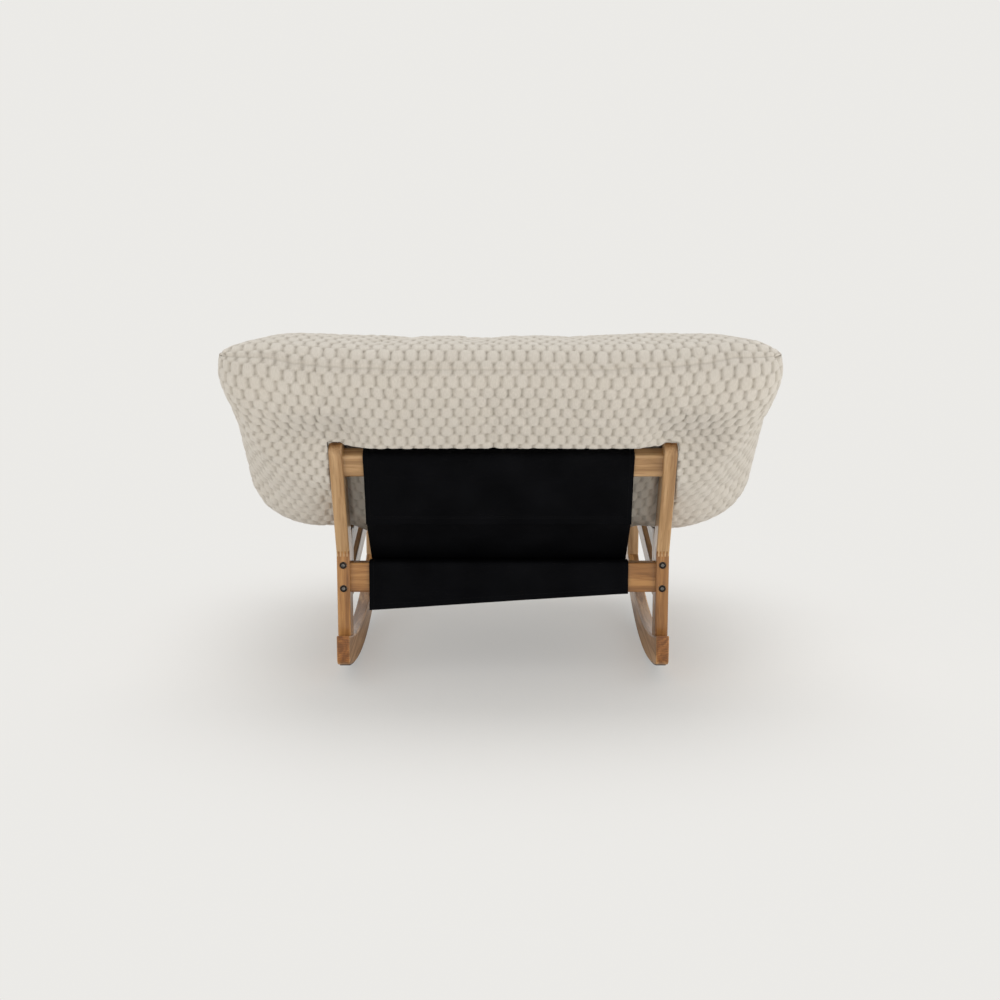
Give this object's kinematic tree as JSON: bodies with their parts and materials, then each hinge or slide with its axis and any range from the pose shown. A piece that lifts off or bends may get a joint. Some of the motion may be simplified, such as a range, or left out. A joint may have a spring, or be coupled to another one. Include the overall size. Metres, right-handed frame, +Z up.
{
  "type": "bean bag rocking chair",
  "caption": "Low rocking chair: a wide bubble-fleece bean bag lying in a wooden rocker frame, carried by black fabric slings.",
  "frame": {"origin": "on the floor, midway between the rockers, where they touch it", "axes": "+Z up, +Y the way the sitter faces, +X to the sitter's right"},
  "size_m": [1.01, 1.0654, 0.6803],
  "materials": {
    "wood": "clear satin lacquer on light hardwood",
    "dowel_wood": "bare",
    "strip_rubber": "matte",
    "dark_bolt": "dark bronze",
    "insert_brass": "plain",
    "plain_steel": "zinc plated",
    "sling_cloth": "matte woven cloth",
    "fleece": "cream bubble fleece",
    "liner_cloth": "thin woven cloth",
    "filling": "loose filling"
  },
  "bodies": {
    "frame": {"rocker_left": "wood", "rocker_right": "wood", "rear_post_lower_left": "wood", "rear_post_lower_right": "wood", "rear_post_upper_left": "wood", "rear_post_upper_right": "wood", "front_leg_left": "wood", "front_leg_right": "wood", "rear_stile_left": "wood", "rear_stile_right": "wood", "front_stile_left": "wood", "front_stile_right": "wood", "lower_side_rail_left": "wood", "lower_side_rail_right": "wood", "upper_side_rail_left": "wood", "upper_side_rail_right": "wood", "rocker_strip_left": "strip_rubber", "rocker_strip_right": "strip_rubber", "rear_top_rail": "wood", "rear_lower_rail": "wood", "front_rail": "wood", "stile_bolts": "dark_bolt", "stile_inserts": "insert_brass", "cross_rail_bolts": "dark_bolt", "cross_rail_barrel_nuts": "plain_steel", "cross_rail_dowels": "dowel_wood", "rocker_dowels": "dowel_wood", "side_rail_dowels": "dowel_wood", "seat_sling": "sling_cloth", "back_sling": "sling_cloth"},
    "bag": {"bag_top_cover": "fleece", "bag_back_cover": "fleece", "bag_liner": "liner_cloth", "bag_filling": "filling"}
  },
  "joints": [
    {"name": "bag_lift", "type": "slide", "parent": "frame", "child": "bag", "axis": [0, 0, 1], "range_m": [0, 0.3]}
  ]
}
